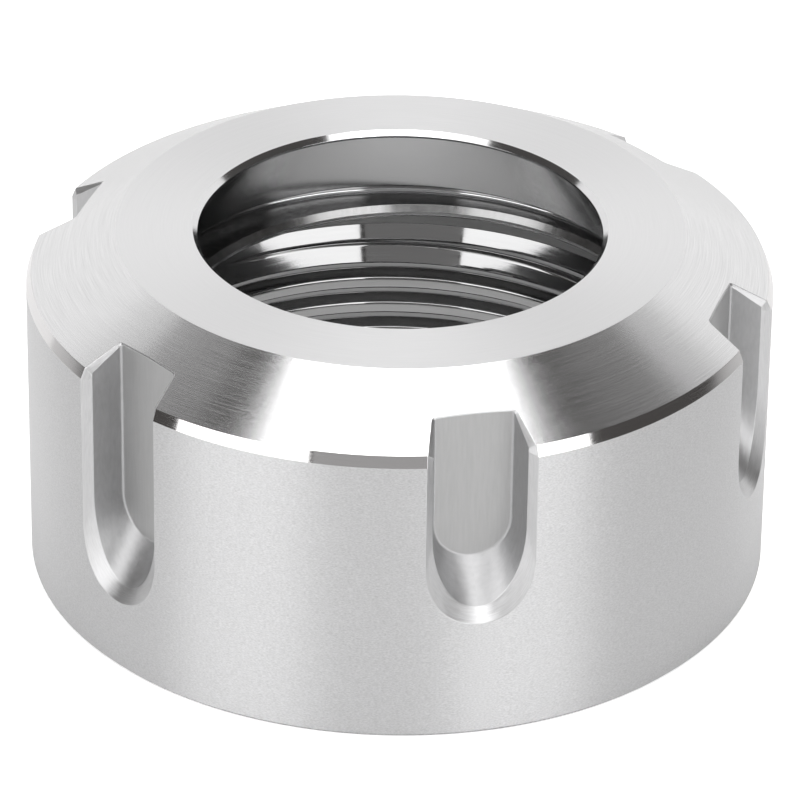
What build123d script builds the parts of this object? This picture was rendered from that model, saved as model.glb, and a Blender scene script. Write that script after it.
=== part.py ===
from build123d import *
from math import radians, sqrt, tan
import os

# One-piece clamping nut for a spring collet, in millimetres, +Z up the bore to the front face.
# The rear (threaded) face lies on Z = 0. The collet ring is widest towards -X and the whole nut
# is symmetric across the XZ plane. The fine thread is left as its plain minor bore. What seats
# the collet (mouth, cone, recess, ring, relief, lead-in) is set out from the front face, and the
# thread takes up the rest of the height.

# turned outside
body_r = 25.0            # ground cylinder
height = 24.3            # rear face to front face
face_r = 19.0            # rim of the flat front face
cone_drop = 3.15         # fall of the front cone, face to polished band
band_h = 0.75            # height of the polished band between cone and cylinder
band_in = 0.32           # radial step taken up by that band
rear_chamfer = 0.3       # outer edge of the rear face

# bore, rear to front
thread_major = 40.0      # metric fine thread, diameter
thread_pitch = 2.0
mouth_clear = 0.25       # rear mouth chamfer opens this far past the major radius
relief_clear = 0.25      # thread relief groove past the major radius
relief_h = 4.1           # from the underside of the collet ring to the lead-in of the thread
relief_lean = 24.3       # the groove's lower side slopes in at this angle to the axis, degrees
lead_in = 0.53           # cone that leads into the thread's upper end, radial
lead_h = 1.0             # and along the bore
ring_h = 0.85            # thickness of the collet ring
ring_r = 16.2            # bore of the ring, off the axis
ring_off = 1.25          # its shift towards +X
ring_edge = 0.18         # chamfers of the ring's bore
recess_r = 18.7          # recess over the ring for the collet's flange
recess_h = 1.43          # from the ring's top to the large end of the cone
recess_slope = 0.25      # rise of the recess roof towards the cone
recess_foot = 0.3        # corner between the recess wall and the ring
cone_big_r = 16.7        # large end of the collet cone
cone_half = 30.0         # its half angle from the axis, degrees
cone_round = 0.5         # rounded large end
throat_land = 0.15       # short cylinder between cone and mouth chamfer
mouth_chamfer = 0.33
mouth_r = 13.86          # opening in the front face

# spanner slots, each cut outwards from a flat floor; an outline has straight sides and ends
# below in half an ellipse, so it is set by its half width, its axis height and its drop
slot_angles = (-90, -30, 30, 90)     # short slots, degrees from +X
long_angles = (150, 210)             # longer ones, beside the wide side of the ring
long_extra = 3.3         # how much lower the longer slots run
slot_floor = 22.1        # flat floor, distance from the axis
floor_half = 2.63        # half width of the floor
slot_run = 12.3          # from the front face to the lowest point of the floor
rim_half = 3.1           # half width at the inner edge of the rim chamfer
end_lean = 52.0          # lean of the end wall away from square, degrees
end_reach = 1.85         # the end's outline at the rim is this much longer than it is wide
rim_chamfer = 0.6        # on the cylinder
rim_fall = 4.2           # fall of the rim's end axis across the chamfer, for each unit outwards
floor_round = 0.2        # round between floor and walls
cone_chamfer = 0.4       # rim chamfer on the front cone, at the band
cone_chamfer_in = 0.15   # the same where it runs out at the floor
spare = 0.6              # cutters stand this far clear of the stock

minor_r = thread_major / 2 - 5 / 8 * thread_pitch * sqrt(3) / 2
mouth_rear_r = thread_major / 2 + mouth_clear
relief_r = thread_major / 2 + relief_clear
throat_r = mouth_r - mouth_chamfer
cone_top_z = height - mouth_chamfer - throat_land
cone_end_z = cone_top_z - (cone_big_r - throat_r) / tan(radians(cone_half))
ring_z1 = cone_end_z - recess_h
ring_z0 = ring_z1 - ring_h
relief_z = ring_z0 - relief_h
lead_r = minor_r + lead_in
slope_top = relief_z + (relief_r - lead_r) / tan(radians(relief_lean))
thread_top = relief_z - lead_h
band_r = body_r - band_in
cone_z = height - cone_drop
band_z = cone_z - band_h
top = height + spare


def turned_blank():
    """Half section of the nut, carried once round the axis."""
    lip_r = ring_r - ring_off - spare
    corners = [
        (body_r - rear_chamfer, 0), (body_r, rear_chamfer), (body_r, band_z), (band_r, cone_z),
        (face_r, height), (mouth_r, height), (throat_r, height - mouth_chamfer),
        (throat_r, cone_top_z), (cone_big_r, cone_end_z), (recess_r, cone_end_z - recess_slope),
        (recess_r, ring_z1 + recess_foot), (recess_r - recess_foot, ring_z1), (lip_r, ring_z1),
        (lip_r, ring_z0), (relief_r, ring_z0), (relief_r, slope_top), (lead_r, relief_z),
        (minor_r, thread_top), (minor_r, mouth_rear_r - minor_r), (mouth_rear_r, 0),
    ]
    face = make_face(Polyline(*[(r, 0, z) for r, z in corners], close=True))
    cone_end = face.vertices().sort_by_distance((cone_big_r, 0, cone_end_z))[0]
    return revolve(fillet([cone_end], cone_round), Axis.Z, 360)


def ring_bore():
    """Off-axis bore of the collet ring with a small chamfer at either end."""
    clear = 0.5
    wide = ring_r + ring_edge
    pts = [(0, ring_z0 - clear), (wide, ring_z0 - clear), (wide, ring_z0), (ring_r, ring_z0 + ring_edge),
           (ring_r, ring_z1 - ring_edge), (wide, ring_z1), (wide, ring_z1 + clear), (0, ring_z1 + clear)]
    face = make_face(Polyline(*[(r, 0, z) for r, z in pts], close=True))
    return Pos(ring_off, 0, 0) * revolve(face, Axis.Z, 360)


def outline(x, half, axis_z, drop):
    """One outline of a slot on the plane X = x: an upright U closed over the top."""
    at = Plane(origin=(x, 0, axis_z), x_dir=(0, 1, 0), z_dir=(1, 0, 0))
    tall = top - axis_z
    return make_face(Wire([
        at * Line((half, 0), (half, tall)), at * Line((half, tall), (-half, tall)),
        at * Line((-half, tall), (-half, 0)),
        at * EllipticalCenterArc((0, 0), half, drop, start_angle=180, arc_size=180),
    ]))


def outside(x):
    """Half space beyond the plane X = x, as a box round the nut."""
    return Pos(x, 0, 0) * Box(2 * body_r, 4 * body_r, 4 * body_r,
                              align=(Align.MIN, Align.CENTER, Align.CENTER))


def slot_cutter(extra):
    """Cutter for one spanner slot on +X: floor, drafted walls, leaning end and rim chamfer."""
    rim_x = sqrt(body_r ** 2 - rim_half ** 2) - rim_chamfer
    depth = rim_x - slot_floor
    grow = body_r + spare - rim_x
    low = height - slot_run - extra
    rim_drop = rim_half * end_reach
    rim_axis = low - depth * tan(radians(end_lean)) + rim_drop
    walls = loft([outline(slot_floor, floor_half, low + floor_half, floor_half),
                  outline(rim_x, rim_half, rim_axis, rim_drop)], ruled=True)
    chamfered = loft([outline(rim_x, rim_half, rim_axis, rim_drop),
                      outline(rim_x + grow, rim_half + grow, rim_axis - rim_fall * grow,
                              rim_drop - (rim_fall - 1) * grow)], ruled=True)
    floor_edges = [e for e in walls.edges() if e.bounding_box().max.X < slot_floor + 1e-4
                   and e.center().Z < top - 1e-3]
    return fillet(floor_edges, floor_round) + chamfered + cone_wedge()


def cone_wedge():
    """The rim chamfer along the front cone: a tapered bar laid down the cone over the slot."""
    run = band_r - face_r
    slope = sqrt(run ** 2 + cone_drop ** 2)
    down = (run / slope, 0, -cone_drop / slope)
    length = (band_r - slot_floor) * slope / run
    near_r = sqrt(slot_floor ** 2 + floor_half ** 2)
    near_z = height - (near_r - face_r) * cone_drop / run

    def section(u):
        t = u / length
        half = floor_half + (rim_half - floor_half) * t
        deep = cone_chamfer_in + (cone_chamfer - cone_chamfer_in) * t
        at = Plane(origin=(slot_floor + down[0] * u, 0, near_z + down[2] * u), x_dir=(0, 1, 0), z_dir=down)
        up = 1 if at.y_dir.Z > 0 else -1
        return at * make_face(Polyline(
            (-half, -up * deep), (half, -up * deep), (half + deep + spare, up * spare),
            (-half - deep - spare, up * spare), close=True))

    return loft([section(-0.2), section(length + 1.0)], ruled=True) & outside(slot_floor)


def nut():
    """The blank with the ring's bore and the six slots taken out."""
    part = turned_blank() - ring_bore()
    for angles, extra in ((slot_angles, 0.0), (long_angles, long_extra)):
        cutter = slot_cutter(extra)
        for a in angles:
            part = part - Rot(0, 0, a) * cutter
    return part


clamping_nut = nut()
os.makedirs("parts", exist_ok=True)
export_step(clamping_nut, "parts/clamping_nut.step")
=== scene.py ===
import bpy
import numpy as np
from mathutils import Matrix, Vector


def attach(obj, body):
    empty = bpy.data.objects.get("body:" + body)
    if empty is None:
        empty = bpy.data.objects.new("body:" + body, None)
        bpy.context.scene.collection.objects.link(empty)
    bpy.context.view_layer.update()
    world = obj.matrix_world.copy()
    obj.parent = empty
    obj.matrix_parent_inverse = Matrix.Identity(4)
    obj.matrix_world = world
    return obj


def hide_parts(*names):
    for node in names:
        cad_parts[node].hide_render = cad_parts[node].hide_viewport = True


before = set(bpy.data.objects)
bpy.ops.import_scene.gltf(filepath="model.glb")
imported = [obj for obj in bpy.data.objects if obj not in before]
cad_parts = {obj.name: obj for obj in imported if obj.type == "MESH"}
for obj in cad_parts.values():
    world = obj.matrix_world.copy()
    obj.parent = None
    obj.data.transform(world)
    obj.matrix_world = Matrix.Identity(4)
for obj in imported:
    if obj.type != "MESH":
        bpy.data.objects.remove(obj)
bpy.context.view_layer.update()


# The blank: one ring of steel turned all over from bar. Its outside runs from the rear face up the
# ground cylinder, over a polished band and a flat cone to the front face. All shapes are worked
# out in millimetres and scaled down when they are joined at the end.
columns = 192                # round the whole nut
sixth = columns // 6         # round one slot's share of it
half = sixth // 2
body_r, height, rear_chamfer = 25.0, 24.3, 0.3
band_r, band_low, band_high = 24.68, 20.4, 21.15
face_r = 19.0                # rim of the flat front face
rear_mouth_r = 20.25         # the thread's chamfer opens this wide in the rear face
skirt_high = 3.0             # the slots' shares of the outside begin above this
cone_fall = (height - band_high) / (band_r - face_r)
GROUND, CONE, BAND, FACE, MILLED, WALL, EDGE = range(7)     # finishes, in the order of steels
BORE, SEAT, RING, RELIEF, LEAD, THREAD, FLANK = range(7, 14)
sheets = []                  # (points, finish, facing, exact, grain) of every surface of the nut


def turned(corners):
    """Profile of a turned surface: straight runs between (r, z) corners, and at each corner an arc
    that starts radius * tan(turn / 2) away from it, with a normal that turns evenly from one run's
    to the next's. A corner is (r, z, radius, steps, shift of its centre along X). Returns rows of
    (r, z, normal r, normal z, shift)."""
    at = np.array([c[:2] for c in corners], float)
    run = np.diff(at, axis=0)
    run /= np.linalg.norm(run, axis=1)[:, None]
    rows = [[*at[0], run[0, 1], -run[0, 0], corners[0][4]]]
    for a, b, p, (_, _, radius, steps, shift) in zip(run[:-1], run[1:], at[1:-1], corners[1:-1]):
        turn = np.arctan2(a[0] * b[1] - a[1] * b[0], a @ b)
        t = np.linspace(0, turn, steps + 1)[:, None]
        n = np.cos(t) * [a[1], -a[0]] + np.sin(t) * a
        side = np.sign(turn) * radius
        start = p - a * radius * np.tan(abs(turn) / 2)
        rows += np.hstack([start + side * (n - n[0]), n, np.full_like(t, shift)]).tolist()
    return np.array(rows + [[*at[-1], run[-1, 1], -run[-1, 0], corners[-1][4]]])


def spun(profile, angles):
    """A profile carried round the axis: x = shift + r cos a, y = r sin a. Returns points and
    normals."""
    r, z, nr, nz, shift = [k[:, None] for k in profile.T]
    c, s = np.cos(angles), np.sin(angles)
    flat = np.zeros_like(c)
    points = np.stack([shift + r * c, r * s, z + flat], -1)
    return points, np.stack([nr * c, nr * s, nz + flat], -1)


def lay(points, finish, facing, exact=False, grain=None):
    """Keeps one grid of points as a sheet of the skin. facing is the side that looks out: one
    vector, or the normals of the grid, which are the true ones where exact is set. grain is the
    grid's own coordinates for a finish that follows it."""
    sheets.append((points, np.broadcast_to(finish, np.array(points.shape[:2]) - 1),
                   np.broadcast_to(facing, points.shape), exact,
                   points if grain is None else grain))


all_round = np.linspace(0, 2 * np.pi, columns + 1)
skirt = turned([
    (rear_mouth_r, 0, 0, 0, 0), (body_r - rear_chamfer, 0, 0.05, 2, 0),
    (body_r, rear_chamfer, 0.05, 2, 0), (body_r, skirt_high, 0, 0, 0)])
points, normals = spun(skirt, all_round)
lay(points, GROUND, normals, True)

outside = turned([
    (body_r, skirt_high, 0, 0, 0), (body_r, band_low, 0.04, 3, 0), (band_r, band_high, 0.04, 3, 0),
    (face_r, height, 0.1, 3, 0), (face_r - 1, height, 0, 0, 0)])
low_row, mid_row, rim_row, top_row = 1, 5, 9, 10     # start and middle of the band, ends of the cone
outside = np.insert(outside, mid_row, (outside[mid_row - 1] + outside[mid_row]) / 2, 0)
climb = np.r_[0, np.cumsum(np.hypot(*np.diff(outside[:, :2], axis=0).T))]
band_rows = climb[low_row:rim_row + 1][::-1]         # climb at the band's lines, downwards
cone_rim, cone_top = climb[rim_row], climb[top_row]


def skin(s, a):
    """The outside at a climb s along its profile and an angle a: the profile's radius, height and
    normal there, turned by a. Returns points and normals."""
    r, z, nr, nz = [np.interp(s, climb, k) for k in outside.T[:4]]
    c, t = np.cos(a), np.sin(a)
    return np.stack([r * c, r * t, z], -1), np.stack([nr * c, nr * t, nz], -1)


def cone_climb(r):
    """Climb on the cone at a radius: it grows evenly from the band's edge to the face's."""
    rim_r, top_r = outside[rim_row, 0], outside[top_row, 0]
    return cone_rim + (rim_r - r) * (cone_top - cone_rim) / (rim_r - top_r)


def cone_z(x, y):
    """Height of the cone at a point: it falls evenly with the distance from the face's rim."""
    return height - (np.hypot(x, y) - face_r) * cone_fall


# Six spanner slots, milled outwards from a flat floor with a round-nosed cutter and then chamfered
# along their rims. Their walls have a little draft and the lower end leans well outwards. The two
# beside the wide side of the extractor ring run further down.
floor_x, floor_half = 22.1, 2.63         # the floor's distance from the axis and its half width
rim_half, rim_lean = 3.1, np.radians(52)
rim_reach = 1.85                         # the end's outline at the rim, length over half width
rim_chamfer, rim_fall = 0.6, 4.2         # depth, and fall of the outline for each unit outwards
rim_x = np.sqrt(body_r ** 2 - rim_half ** 2) - rim_chamfer
cone_deep = 0.05, 0.17, 0.457            # chamfer under the cone: at the floor, the corner, the band
cone_wide = 0.05, 0.15                   # and across: at the floor and at its corner
cone_half = 3.5                          # half width of the slot's opening where the cone ends
corner_round, break_ = 0.2, 0.035        # floor corner, and the rounding of every sharp edge
break_share = 0.35                       # of a narrow chamfer, at most
band_share = 0.08                        # of the wall's height, beside the band
steps_top, steps_corner, steps_wall, steps_band, steps_side, steps_end = half, 4, 6, 8, 10, 26
steps_skin, steps_break = 10, 3


def blend3(a, b, c, t):
    """A quadratic bend from a to c that starts and ends along the lines to b."""
    t = np.asarray(t)[..., None]
    return (1 - t) ** 2 * a + 2 * t * (1 - t) * b + t ** 2 * c


def pocket_end(low, rim_axis, rim_drop):
    """Half of the slot's lower end, as rows round it and columns from floor to rim. Floor and rim
    are half ellipses, joined by straight rulings, with a round of constant radius between floor
    and wall: its two feet lie radius * tan(turn / 2) from the corner."""
    t = np.linspace(0, -np.pi / 2, steps_end + 1)
    c, s, one = np.cos(t), np.sin(t), np.ones_like(t)
    foot = np.stack([floor_x * one, floor_half * c, low + floor_half + floor_half * s], -1)
    rim = np.stack([rim_x * one, rim_half * c, rim_axis + rim_drop * s], -1)
    rule = rim - foot
    wall = np.cross(np.stack([0 * one, -s, c], -1), rule)
    turn = np.arccos(np.abs(wall[:, 0]) / np.linalg.norm(wall, axis=1))
    reach = corner_round * np.tan(turn / 2)
    near = foot + reach[:, None] * np.stack([0 * one, -c, -s], -1)
    start = reach * np.sin(turn) / rule[0, 0]
    stop = 1 - break_ / np.linalg.norm(rule, axis=1)
    bend = blend3(near[:, None], foot[:, None], (foot + rule * start[:, None])[:, None],
                  np.linspace(0, 1, steps_corner + 1)[None])
    share = start + (stop - start) * np.linspace(0, 1, steps_wall + 1)[1:, None]
    return np.concatenate([bend, (foot + share[..., None] * rule).swapaxes(0, 1)], 1), rim


def slot_half(low):
    """Half of one slot on +X, for the side Y > 0, and the skin round it. A loop of lines runs from
    the middle of the floor's top edge round the pocket to the middle of its lower end. Along each
    line lie the skin from the sixth's border to the slot, the chamfer with both its edges broken,
    and the wall. Returns the skin and its climb, the chamfer, the wall, and the distance round the
    loop at each line."""
    rim_drop = rim_half * rim_reach
    rim_axis = low - (rim_x - floor_x) * np.tan(rim_lean) + rim_drop
    end, rim = pocket_end(low, rim_axis, rim_drop)

    # top of the wall: under the cone by a chamfer that grows from the floor to the rim
    x, y = end[0, :, 0], end[0, :, 1]
    deep = np.r_[np.linspace(*cone_deep[:2], steps_corner + 1),
                 np.linspace(*cone_deep[1:], steps_wall + 1)[1:]]
    wall_top = cone_z(x, y) - deep - break_
    fall = np.r_[np.linspace(0, band_share, steps_band + 1),
                 np.linspace(band_share, 1, steps_side + 1)[1:]]
    side = np.empty((len(fall), len(x), 3))
    side[..., 0], side[..., 1] = x, y
    side[..., 2] = wall_top + (end[0, :, 2] - wall_top) * fall[:, None]
    wall = np.concatenate([side, end[1:]])

    # inner edge of the chamfer
    y_top = y[0] * np.linspace(0, 1, steps_top + 1)
    top = np.stack([floor_x + 0 * y_top, y_top, cone_z(floor_x, y_top) - deep[0]], -1)
    along = np.stack([x, y, wall_top + break_], -1)[1:]
    along[-1, :2] = rim[0, :2]
    down = np.stack([rim_x + 0 * fall, rim_half + 0 * fall,
                     along[-1, 2] + (rim_axis - along[-1, 2]) * fall], -1)[1:]
    inner = np.concatenate([top, along, down, rim[1:]])
    foot = np.concatenate([top - [0, 0, break_], wall[0, 1:], wall[1:, -1]])

    # outer edge of the chamfer, as climb and angle on the skin
    bend = np.linspace(0, np.pi / 2, steps_corner + 1)
    wide = np.linspace(*cone_wide, steps_corner + 1)
    rim_r = outside[rim_row, 0]
    cx = np.r_[floor_x - wide[0] + 0 * y_top, (x[:steps_corner + 1] - wide * np.cos(bend))[1:]]
    cy = np.r_[y_top, (y[:steps_corner + 1] + wide * np.sin(bend))[1:]]
    r = np.r_[np.hypot(cx, cy), np.linspace(np.hypot(cx[-1], cy[-1]), rim_r, steps_wall + 1)[1:]]
    cy = np.r_[cy, np.linspace(cy[-1], cone_half, steps_wall + 1)[1:]]
    c = rim[:, 1] / rim_half
    a, b = 1 + c ** 2, rim_x + rim_half * c ** 2
    grow = (np.sqrt(b ** 2 - a * (rim_x ** 2 + (rim_half * c) ** 2 - body_r ** 2)) - b) / a
    end_z = rim_axis - rim_fall * grow - (rim_drop - (rim_fall - 1) * grow) * np.sqrt(1 - c ** 2)
    end_a = np.arctan2((rim_half + grow) * c, rim_x + grow)
    s = np.r_[cone_climb(r), band_rows[1:],
              np.linspace(climb[low_row], end_z[0] - skirt_high, steps_side + 1)[1:],
              end_z[1:] - skirt_high]
    angle = np.r_[np.arcsin(cy / r),
                  np.linspace(np.arcsin(cone_half / rim_r), end_a[0], steps_band + 1)[1:],
                  np.full(steps_side, end_a[0]), end_a[1:]]

    # border of the sixth: half the face's rim, down its side, and half its lower edge
    right = np.pi / 6
    beside = steps_side + steps_end - half
    edge_s = np.r_[np.full(half + 1, cone_top),
                   np.linspace(cone_top, cone_rim, steps_corner + steps_wall + 1)[1:],
                   band_rows[1:], np.linspace(climb[low_row], 0, beside + 1)[1:], np.zeros(half)]
    edge_a = np.r_[np.linspace(0, right, half + 1), np.full(len(s) - 2 * half - 1, right),
                   np.linspace(right, 0, half + 1)[1:]]
    share = (break_ / np.hypot(edge_s - s, (edge_a - angle) * body_r))[:, None]
    share = share + (1 - share) * np.linspace(0, 1, steps_skin + 1)
    over_s = s[:, None] + (edge_s - s)[:, None] * share
    over = skin(over_s, angle[:, None] + (edge_a - angle)[:, None] * share)
    outer = skin(s, angle)[0]

    # the chamfer and its two broken edges
    across = inner - outer
    nip = np.minimum(break_ / np.linalg.norm(across, axis=1), break_share)[:, None] * across
    steps = np.linspace(0, 1, steps_break + 1)[None]
    chamfer = np.concatenate([
        blend3(over[0][:, :1], outer[:, None], (outer + nip)[:, None], steps),
        blend3((inner - nip)[:, None], inner[:, None], foot[:, None], steps)], 1)
    path = np.r_[0, np.cumsum(np.linalg.norm(np.diff(inner, axis=0), axis=1))]
    return over, over_s, chamfer, wall, path


def lay_of_cut(along, across, number):
    """Coordinates for tool marks: how far along the tool's path and across it, in mm, and a
    number that sets one slot's marks apart from the next one's."""
    return np.stack(np.broadcast_arrays(along, across, number), -1).astype(float)


def slot(angle, low):
    """One slot and its sixth of the skin: both halves, mirrored in Y, and the flat floor between
    them, whose rows join the two corners straight across. All are turned to the slot's angle."""
    c, s = np.cos(angle), np.sin(angle)
    turn = np.array([[c, s, 0], [-s, c, 0], [0, 0, 1]])
    (points, normals), climbed, chamfer, wall, path = slot_half(low)
    middle = (climbed[1:, 1:] + climbed[:-1, :-1]) / 2
    finish = np.where(middle < climb[low_row], GROUND, np.where(middle < cone_rim, BAND, CONE))

    # the floor, whose top edge follows the cone
    across = np.linspace(-1, 1, sixth + 1)
    floor = wall[:, :1] * np.stack([np.ones(sixth + 1), across, np.ones(sixth + 1)], -1)
    straight = steps_band + steps_side + 1
    lift = cone_z(floor_x, floor[0, :, 1]) - cone_deep[0] - break_
    fall = (floor[0, 0, 2] - floor[:straight, 0, 2]) / (floor[0, 0, 2] - floor[straight - 1, 0, 2])
    floor[:straight, :, 2] += (lift - floor[0, :, 2]) * (1 - fall[:, None])
    lay(floor @ turn, MILLED, np.array([1.0, 0, 0]) @ turn,
        grain=lay_of_cut(floor[..., 2], floor[..., 1], 10 * angle))

    for mirror in (1, -1):
        flip = np.array([1, mirror, 1])
        facing = np.array([1, -mirror, 0.5]) @ turn
        number = 10 * angle + 3 * mirror
        inward = np.linalg.norm(chamfer - chamfer[:, :1], axis=-1)
        lay((points * flip) @ turn, finish, (normals * flip) @ turn, True)
        lay((chamfer * flip) @ turn, EDGE, facing,
            grain=lay_of_cut(path[:, None], inward, number))
        lay((wall * flip) @ turn, WALL, facing,
            grain=lay_of_cut(path[-len(wall):, None], wall[..., 0] - floor_x, number))


for angles, low in (((-90, -30, 30, 90), 12.0), ((150, 210), 8.7)):
    for angle in angles:
        slot(np.radians(angle), low)


# The bore: bored from the front through the mouth, the 30 degree collet cone and the recess for the
# collet's flange. Below lies the extractor ring, bored off the axis so that it grips the collet on
# one side, and under it the relief groove where the threading tool runs out.
mouth_r, throat_r, throat_high, throat_low = 13.86, 13.53, 23.97, 23.82
seat_r, seat_low = 16.7, 18.33           # large end of the collet cone
recess_r, recess_high = 18.7, 18.08
ring_r, ring_high, ring_low, ring_off = 16.2, 16.9, 16.05, 1.25
ring_in, ring_down, ring_under = 0.32, 0.45, 0.18    # its upper chamfer, and the lower one
relief_r, lead_top, run_out = 20.25, 13.5, 12.9
cone_lean = np.tan(np.radians(27.6))
past = 0.03                              # a finish runs on this far past its last corner


def lead_r(z):
    """Radius of the cone that leads from the relief groove down into the thread: it shrinks
    evenly with the height."""
    return relief_r - (lead_top - z) * cone_lean


bore = turned([
    (face_r + 1, height - cone_fall, 0, 0, 0), (face_r, height, 0.1, 3, 0),
    (mouth_r, height, 0.05, 3, 0), (throat_r, throat_high, 0.03, 2, 0),
    (throat_r, throat_low, 0.03, 2, 0), (seat_r, seat_low, 0.5, 6, 0),
    (recess_r, recess_high, 0.25, 4, 0), (recess_r, ring_high, 0.3, 5, 0),
    (ring_r + ring_in, ring_high, 0.04, 2, ring_off),
    (ring_r, ring_high - ring_down, 0.04, 2, ring_off),
    (ring_r, ring_low + ring_under, 0.03, 2, ring_off),
    (ring_r + ring_under, ring_low, 0.03, 2, ring_off), (relief_r, ring_low, 0.3, 4, 0),
    (relief_r, lead_top, 0.15, 4, 0), (lead_r(run_out), run_out, 0, 0, 0)])[1:]
points, normals = spun(bore, all_round)
above, below = bore[:-1, 1], bore[1:, 1]             # heights at the two ends of each run
finish = np.full(len(bore) - 1, BORE)
finish[:4] = FACE                                    # its rounded rim and the flat
finish[(above < throat_low + past) & (below > seat_low - past)] = SEAT
finish[(above < ring_high + 1e-3) & (below > ring_high - ring_down - past)] = RING
finish[above < ring_low + past] = RELIEF
finish[below < lead_top] = LEAD
lay(points, finish[:, None], normals, True)


# The thread: M40 x 2, right-handed, cut from the rear. It opens into a chamfer at the rear face and
# its last turn runs out into the cone under the relief groove. The upper edge of its crest is broken.
pitch, crest_r, root_r = 2.0, 18.9175, 19.72
tooth_at = np.array([0.13, 0.437, 0.495, 0.69, 0.715, 0.87, 0.89, 1.115, 1.13])      # in pitches
tooth_r = np.array([crest_r, crest_r, crest_r + 0.069, root_r - 0.03, root_r, root_r, root_r - 0.02,
                    crest_r + 0.035, crest_r])
start_turn = 0.79
turns = np.arange(-2, 9)
lines = np.r_[np.linspace(0.13, 0.437, 6), 0.457, 0.476, 0.495, 0.54, 0.59, 0.64, 0.69, 0.70, 0.715,
              0.765, 0.82, 0.87, 0.89, 0.965, 1.04, 1.115]             # of the mesh, in pitches
snap = 0.05                              # lines that pass this near an edge move onto it


def open_r(z):
    """Radius of what the thread opens into: the wider one of the rear chamfer and the cone."""
    return np.maximum(rear_mouth_r - z, lead_r(z))


def thread_r(z, a):
    """Radius of the threaded bore: the tooth's outline at the phase z / pitch - a / (2 pi) plus the
    turn it starts at, or what the thread opens into where that is wider."""
    phase = (z / pitch - a / (2 * np.pi) + start_turn - tooth_at[0]) % 1 + tooth_at[0]
    return np.maximum(np.interp(phase, tooth_at, tooth_r), open_r(z))


def most(grid):
    """The greatest value at the four corners of each square of a grid."""
    return np.maximum.reduce([grid[1:, 1:], grid[1:, :-1], grid[:-1, 1:], grid[:-1, :-1]])


rise = (turns[:, None] + lines).ravel()[:, None] - start_turn
z = np.clip(pitch * (rise + all_round / (2 * np.pi)), 0, run_out)
for edge in (rear_mouth_r - crest_r, lead_top - (relief_r - crest_r) / cone_lean):
    z[np.abs(z - edge) < snap] = edge
r = thread_r(z, all_round)
axis_ward = -np.stack([np.cos(all_round), np.sin(all_round), 0 * all_round], -1)
points = np.stack([r * np.cos(all_round), r * np.sin(all_round), z], -1)
depth = most(r) - crest_r
opening = most(r - open_r(z)) < 1e-3
root = -most(-r) > root_r - 0.04
# the roots take the lead-in cone's darker steel and the flanks a darker steel still than the crest:
# painted shade in the thread's grooves
finish = np.select([opening | root, depth < 1e-3, depth < 0.075], [LEAD, THREAD, LEAD], FLANK)
lay(points, finish, axis_ward)


same_within, off_line = 2e-4, 0.237      # mm; the shift keeps round values off the cells' borders
exact_weight, own_below = 50, 0.6


def join(name):
    """Joins all the sheets to one closed mesh in metres. Points closer than a fraction of a micron
    become one, squares that lose a corner become triangles, and each is wound to face out. A
    point's normal is the mean of its faces' by area, and an exact sheet's own normals outweigh
    the rest. A face that leans far from that normal keeps its own."""
    points = np.concatenate([p.reshape(-1, 3) for p, *_ in sheets])
    cells = np.round(points / same_within + off_line).astype(np.int64)
    _, first, same = np.unique(cells, axis=0, return_index=True, return_inverse=True)
    same = same.ravel()
    quads, finishes, pulls, grains, start = [], [], [], [], 0
    for grid, finish, facing, exact, grain in sheets:
        m, n = grid.shape[:2]
        i = (start + np.arange(m * n)).reshape(m, n)
        quad = np.stack([i[:-1, :-1], i[1:, :-1], i[1:, 1:], i[:-1, 1:]], -1).reshape(-1, 4)
        p = points[quad]
        area = np.cross(p[:, 2] - p[:, 0], p[:, 3] - p[:, 1])
        look = facing.reshape(-1, 3)[quad - start]
        if (area * look.sum(1)).sum() < 0:
            quad, area, look = quad[:, ::-1], -area, look[:, ::-1]
        size = np.linalg.norm(area, axis=1)[:, None, None]
        pulls.append(exact_weight * size * look if exact else np.repeat(area[:, None], 4, 1))
        quads.append(quad)
        grains.append(grain.reshape(-1, 3)[quad - start])
        finishes.append(finish.ravel())
        start += m * n
    quad = same[np.concatenate(quads)]
    pull, grain, finish = np.concatenate(pulls), np.concatenate(grains), np.concatenate(finishes)
    normal = np.zeros((len(first), 3))
    np.add.at(normal, quad, pull)
    normal /= np.maximum(np.linalg.norm(normal, axis=1), 1e-12)[:, None]

    # squares with four corners, and triangles from those with two corners in one place
    repeat = quad == np.roll(quad, -1, 1)
    whole, tri = ~repeat.any(1), repeat.sum(1) == 1
    keep = ~repeat[tri]
    three = quad[tri][keep].reshape(-1, 3)
    good = (three != np.roll(three, -1, 1)).all(1)
    loose = grain[tri][keep].reshape(-1, 3, 3)[good]
    mesh = bpy.data.meshes.new(name)
    mesh.from_pydata(points[first] / 1000, [], quad[whole].tolist() + three[good].tolist())
    finish = np.r_[finish[whole], finish[tri][good]].astype(np.int32)
    mesh.polygons.foreach_set("material_index", finish)
    mesh.polygons.foreach_set("use_smooth", np.ones(len(mesh.polygons), bool))
    grain = np.concatenate([grain[whole].ravel(), loose.ravel()]).astype(np.float32)
    mesh.attributes.new("grain", "FLOAT_VECTOR", "CORNER").data.foreach_set("vector", grain)

    # a normal for each corner of each face
    flat = np.empty(3 * len(mesh.polygons))
    mesh.polygons.foreach_get("normal", flat)
    flat = np.repeat(flat.reshape(-1, 3), np.r_[np.full(whole.sum(), 4), np.full(good.sum(), 3)], 0)
    corner = normal[np.r_[quad[whole].ravel(), three[good].ravel()]]
    corner = np.where((corner * flat).sum(1, keepdims=True) < own_below, flat, corner)
    mesh.normals_split_custom_set(corner.tolist())
    made = bpy.data.objects.new(name, mesh)
    bpy.context.scene.collection.objects.link(made)
    return made


nut = join("nut")


# The steel: case-hardened and bright, with one finish for each way its surface was cut. Every finish
# is the marks that its tool left: long fine lines round the nut where it was turned, short scratches
# where it was ground, and streaks along the cutter's path in the slots. The thread's flanks and roots
# are coloured darker than its crest: painted shade in its grooves.
marks_span = 0.25, 0.75                  # the marks' noise seldom leaves this range


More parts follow.
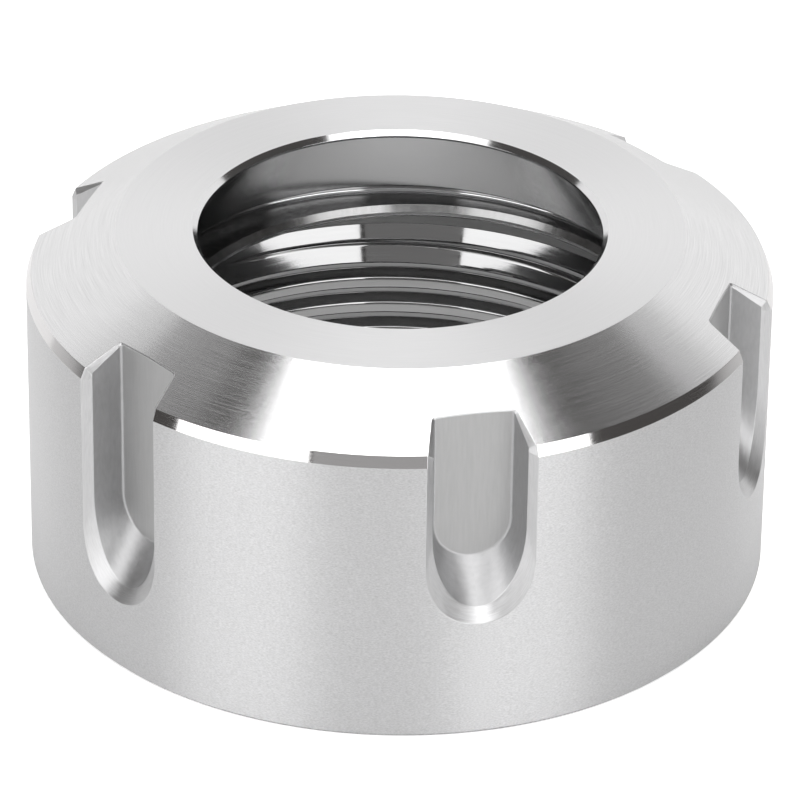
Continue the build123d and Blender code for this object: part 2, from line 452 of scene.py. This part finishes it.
def group(name, numbers, made):
    """A shader node group with named number inputs and one number output, made by a function that
    takes the group's tree and its input node, and returns the socket to put out."""
    tree = bpy.data.node_groups.new(name, "ShaderNodeTree")
    for label in numbers:
        tree.interface.new_socket(label, in_out="INPUT", socket_type="NodeSocketFloat")
    tree.interface.new_socket("Marks", in_out="OUTPUT", socket_type="NodeSocketFloat")
    start, end = tree.nodes.new("NodeGroupInput"), tree.nodes.new("NodeGroupOutput")
    tree.links.new(made(tree, start), end.inputs["Marks"])
    return tree


def step(tree, kind, operation, *inputs):
    """Adds a math or vector math node fed by sockets or constants, and returns its output."""
    node = tree.nodes.new(kind)
    node.operation = operation
    for socket, value in zip(node.inputs, inputs):
        if isinstance(value, bpy.types.NodeSocket):
            tree.links.new(value, socket)
        else:
            socket.default_value = value
    number = kind == "ShaderNodeMath" or operation == "LENGTH"
    return node.outputs["Value" if number else "Vector"]


def speckled(tree, vector, detail, rough):
    """Noise of unit size at a vector."""
    noise = tree.nodes.new("ShaderNodeTexNoise")
    noise.inputs["Scale"].default_value = 1
    noise.inputs["Detail"].default_value = detail
    noise.inputs["Roughness"].default_value = rough
    tree.links.new(vector, noise.inputs["Vector"])
    return noise.outputs["Fac"]


def turned_marks(tree, start):
    """Lines round the axis: noise at (x / r, y / r) * Around and (r - z) * Across, so that each
    line keeps its radius and height and fades in and out on its way round."""
    at = tree.nodes.new("ShaderNodeTexCoord").outputs["Object"]
    flat = step(tree, "ShaderNodeVectorMath", "MULTIPLY", at, (1, 1, 0))
    radius = step(tree, "ShaderNodeVectorMath", "LENGTH", flat)
    way = step(tree, "ShaderNodeVectorMath", "NORMALIZE", flat)
    parts = tree.nodes.new("ShaderNodeSeparateXYZ")
    tree.links.new(at, parts.inputs[0])
    across = step(tree, "ShaderNodeMath", "SUBTRACT", radius, parts.outputs["Z"])
    across = step(tree, "ShaderNodeMath", "MULTIPLY", across, 1000.0)
    across = step(tree, "ShaderNodeMath", "MULTIPLY", across, start.outputs["Across"])
    way = step(tree, "ShaderNodeVectorMath", "SCALE", way)
    tree.links.new(start.outputs["Around"], way.node.inputs["Scale"])
    lift = tree.nodes.new("ShaderNodeCombineXYZ")
    tree.links.new(across, lift.inputs["Z"])
    return speckled(tree, step(tree, "ShaderNodeVectorMath", "ADD", way, lift.outputs[0]), 3, 0.6)


def milled_marks(tree, start):
    """Streaks along a cutter's path: noise at the grain attribute, which holds the distances
    along and across the path, times Along and Across."""
    grain = tree.nodes.new("ShaderNodeAttribute")
    grain.attribute_name = "grain"
    scale = tree.nodes.new("ShaderNodeCombineXYZ")
    tree.links.new(start.outputs["Along"], scale.inputs["X"])
    tree.links.new(start.outputs["Across"], scale.inputs["Y"])
    scale.inputs["Z"].default_value = 1
    return speckled(tree, step(tree, "ShaderNodeVectorMath", "MULTIPLY", grain.outputs["Vector"],
                               scale.outputs[0]), 3, 0.55)


turning = group("turned marks", ("Across", "Around"), turned_marks)
milling = group("milled marks", ("Along", "Across"), milled_marks)


def steel(name, marks, scales, color, swing, roughness, depth, stretch):
    """A metal finished by a tool. Its marks swing the colour by a share, the roughness between two
    values, and the surface by a depth in microns. stretch is the anisotropy of its highlights,
    across the turning lines."""
    made = bpy.data.materials.new(name)
    made.use_nodes = True
    tree = made.node_tree
    shader = tree.nodes["Principled BSDF"]
    shader.inputs["Metallic"].default_value = 1
    shader.inputs["Anisotropic"].default_value = stretch
    shader.inputs["Anisotropic Rotation"].default_value = 0.25
    cut = tree.nodes.new("ShaderNodeGroup")
    cut.node_tree = marks
    for socket, value in zip(cut.inputs, scales):
        socket.default_value = value
    tone = tree.nodes.new("ShaderNodeValToRGB")
    stops = tone.color_ramp.elements
    for stop, place, share in zip(stops, marks_span, (1 - swing, 1 + swing)):
        stop.position = place
        stop.color = (*[min(1, channel * share) for channel in color], 1)
    tree.links.new(cut.outputs["Marks"], tone.inputs["Fac"])
    tree.links.new(tone.outputs["Color"], shader.inputs["Base Color"])
    gloss = tree.nodes.new("ShaderNodeMapRange")
    gloss.inputs["From Min"].default_value, gloss.inputs["From Max"].default_value = marks_span
    gloss.inputs["To Min"].default_value, gloss.inputs["To Max"].default_value = roughness
    tree.links.new(cut.outputs["Marks"], gloss.inputs["Value"])
    tree.links.new(gloss.outputs["Result"], shader.inputs["Roughness"])
    bump = tree.nodes.new("ShaderNodeBump")
    bump.inputs["Strength"].default_value = 1
    bump.inputs["Distance"].default_value = depth / 1e6
    tree.links.new(cut.outputs["Marks"], bump.inputs["Height"])
    tree.links.new(bump.outputs["Normal"], shader.inputs["Normal"])
    return made


# name, marks and their scales, colour and its swing, roughness, depth and stretch of each finish
steels = (
    ("ground_steel", turning, (14, 150), (0.6, 0.6, 0.605), 0.17, (0.3, 0.42), 8, 0.8),
    ("turned_cone", turning, (14, 5), (0.70, 0.70, 0.705), 0.1, (0.17, 0.26), 4, 0.9),
    ("polished_band", turning, (12, 5), (0.74, 0.73, 0.73), 0.03, (0.04, 0.12), 1, 0.3),
    ("front_face", turning, (9, 4), (0.74, 0.74, 0.745), 0.03, (0.34, 0.44), 2, 0.6),
    ("milled_slot", milling, (0.5, 6), (0.45, 0.45, 0.45), 0.06, (0.4, 0.5), 4, 0.0),
    ("milled_wall", milling, (1.5, 5), (0.5, 0.5, 0.505), 0.08, (0.44, 0.54), 6, 0.0),
    ("broken_edge", milling, (1.2, 14), (0.6, 0.6, 0.605), 0.1, (0.35, 0.5), 8, 0.0),
    ("bored_steel", turning, (9, 3), (0.68, 0.68, 0.685), 0.05, (0.08, 0.14), 2, 0.7),
    ("collet_seat", turning, (9, 3), (0.68, 0.68, 0.685), 0.05, (0.14, 0.2), 2, 0.4),
    ("extractor_ring", turning, (3, 40), (0.34, 0.34, 0.34), 0.08, (0.18, 0.26), 0.5, 0.4),
    ("relief_steel", turning, (6, 5), (0.34, 0.34, 0.34), 0.1, (0.3, 0.4), 3, 0.6),
    # the lead-in cone's steel also colours the thread's roots, and the flank's steel is darker still:
    # both are painted shade in the thread's grooves
    ("lead_in_cone_and_painted_root_shade", turning, (9, 4), (0.41, 0.41, 0.412), 0.03, (0.05, 0.1), 1, 0.6),
    ("thread_crest", turning, (9, 4), (0.56, 0.56, 0.56), 0.03, (0.07, 0.12), 1, 0.6),
    ("thread_flank_painted_shade", turning, (9, 4), (0.27, 0.27, 0.27), 0.08, (0.12, 0.2), 2, 0.6),
)
for row in steels:
    nut.data.materials.append(steel(*row))

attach(nut, "root")
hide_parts("clamping_nut")


# The studio: a pale floor, a soft box overhead and one to each side of the camera, dim boards in
# the gap between these two, and white cards all round the back, dimmer towards their top. Angles
# are seen from the nut, in degrees, with the camera at 0 and the right positive.
camera_turn = np.radians(-12.7)
front = camera_turn - np.pi / 2
box_rises, box_far, box_white = (-2, 62), 0.6, 2.1
gap_sides, gap_far = (-24, 14), 0.7
card_start, card_wide, card_far = 120, 30, 0.8


def lamp(name, at, toward, wide, tall, radiance):
    """A rectangular lamp at a place, turned to face a point, hidden from the camera. Its power is
    radiance * pi * area. One that faces straight down keeps its long side in line with the
    camera."""
    light = bpy.data.lights.new(name, "AREA")
    light.shape, light.size, light.size_y = "RECTANGLE", wide, tall
    light.energy = radiance * np.pi * wide * tall
    made = bpy.data.objects.new(name, light)
    made.location = at
    made.rotation_euler = (toward - at).to_track_quat("-Z", "Y").to_euler()
    if toward.xy == at.xy:
        made.rotation_euler = 0, 0, front + np.pi / 2
    made.visible_camera = False
    bpy.context.scene.collection.objects.link(made)


def panel(name, sides, rises, far, radiance):
    """A soft upright box that fills a range of angles sideways and a range of angles upwards, at a
    distance in metres: its edges lie at far * tan(angle)."""
    middle = front + np.radians(sum(sides) / 2)
    low, high = far * np.tan(np.radians(rises))
    wide = 2 * far * np.tan(np.radians((sides[1] - sides[0]) / 2))
    at = Vector((far * np.cos(middle), far * np.sin(middle), (low + high) / 2))
    lamp(name, at, Vector((0, 0, at.z)), wide, high - low, radiance)


panel("soft_box_left", (-65, -25), box_rises, box_far, box_white)
panel("soft_box_right", (16, 56), box_rises, box_far, box_white)
panel("table_edge", gap_sides, (2, 18), gap_far, 0.35)
panel("dim_gap", gap_sides, (18, 50), gap_far, 0.22)
for k, (upper, high) in enumerate(((0.7, 0.32), (0.8, 0.35), (0.85, 0.5), (0.9, 0.6))):
    sides = card_start + k * card_wide, card_start + (k + 1) * card_wide
    panel(f"white_card_{k}", sides, (0, 38), card_far, 1.0)
    panel(f"upper_card_{k}", sides, (38, 48), card_far, upper)
    panel(f"high_card_{k}", sides, (48, 62), card_far, high)
over = Vector((0.14 * np.cos(front), 0.14 * np.sin(front), 0.62))
lamp("soft_box_above", over, over - Vector((0, 0, 1)), 0.4, 0.62, 3.4)


def white_to_camera(tree, surface, shader, share):
    """Adds a share of plain white to a shader where the camera looks straight at it, and links
    the sum to a surface socket."""
    path = tree.nodes.new("ShaderNodeLightPath").outputs["Is Camera Ray"]
    white, both = tree.nodes.new("ShaderNodeEmission"), tree.nodes.new("ShaderNodeAddShader")
    strength = step(tree, "ShaderNodeMath", "MULTIPLY", path, share)
    tree.links.new(strength, white.inputs["Strength"])
    tree.links.new(shader, both.inputs[0])
    tree.links.new(white.outputs[0], both.inputs[1])
    tree.links.new(both.outputs[0], surface)


world = bpy.data.worlds.new("studio")
bpy.context.scene.world = world
world.use_nodes = True
nodes = world.node_tree.nodes
nodes["Background"].inputs["Color"].default_value = (0.08, 0.076, 0.074, 1)
white_to_camera(world.node_tree, nodes["World Output"].inputs["Surface"],
                nodes["Background"].outputs[0], 1.0)

mesh = bpy.data.meshes.new("floor")
mesh.from_pydata([(-2, -2, 0), (2, -2, 0), (2, 2, 0), (-2, 2, 0)], [], [(0, 1, 2, 3)])
floor = bpy.data.objects.new("floor", mesh)
bpy.context.scene.collection.objects.link(floor)
paint = bpy.data.materials.new("pale_floor")
paint.use_nodes = True
nodes = paint.node_tree.nodes
nodes["Principled BSDF"].inputs["Base Color"].default_value = (0.9, 0.9, 0.9, 1)
nodes["Principled BSDF"].inputs["Roughness"].default_value = 0.3
white_to_camera(paint.node_tree, nodes["Material Output"].inputs["Surface"],
                nodes["Principled BSDF"].outputs[0], 0.6)
mesh.materials.append(paint)


# The camera: a long lens 0.4 m away, 30 degrees above the nut, with a slot to the right of the
# middle. Its place and its look are given before the turn round the nut's axis.
camera_at = Vector((0, -0.34906, 0.21457))
look, roll, focal_mm = np.array([0.0003, 0.8637, -0.5040]), 0.0131, 268.34
look /= np.linalg.norm(look)
side = np.cross(look, (0, 0, 1))
side /= np.linalg.norm(side)
up = np.cross(side, look)
side, up = np.cos(roll) * side + np.sin(roll) * up, np.cos(roll) * up - np.sin(roll) * side
lens = bpy.data.cameras.new("camera")
lens.sensor_width, lens.lens, lens.clip_start, lens.clip_end = 36, focal_mm, 0.01, 20
camera = bpy.data.objects.new("camera", lens)
turn = Matrix.Rotation(camera_turn, 3, "Z")
pose = (turn @ Matrix(np.stack([side, up, -look], 1).tolist())).to_4x4()
pose.translation = turn @ camera_at
camera.matrix_world = pose
bpy.context.scene.collection.objects.link(camera)
bpy.context.scene.camera = camera

bpy.context.scene.view_settings.view_transform = "Standard"
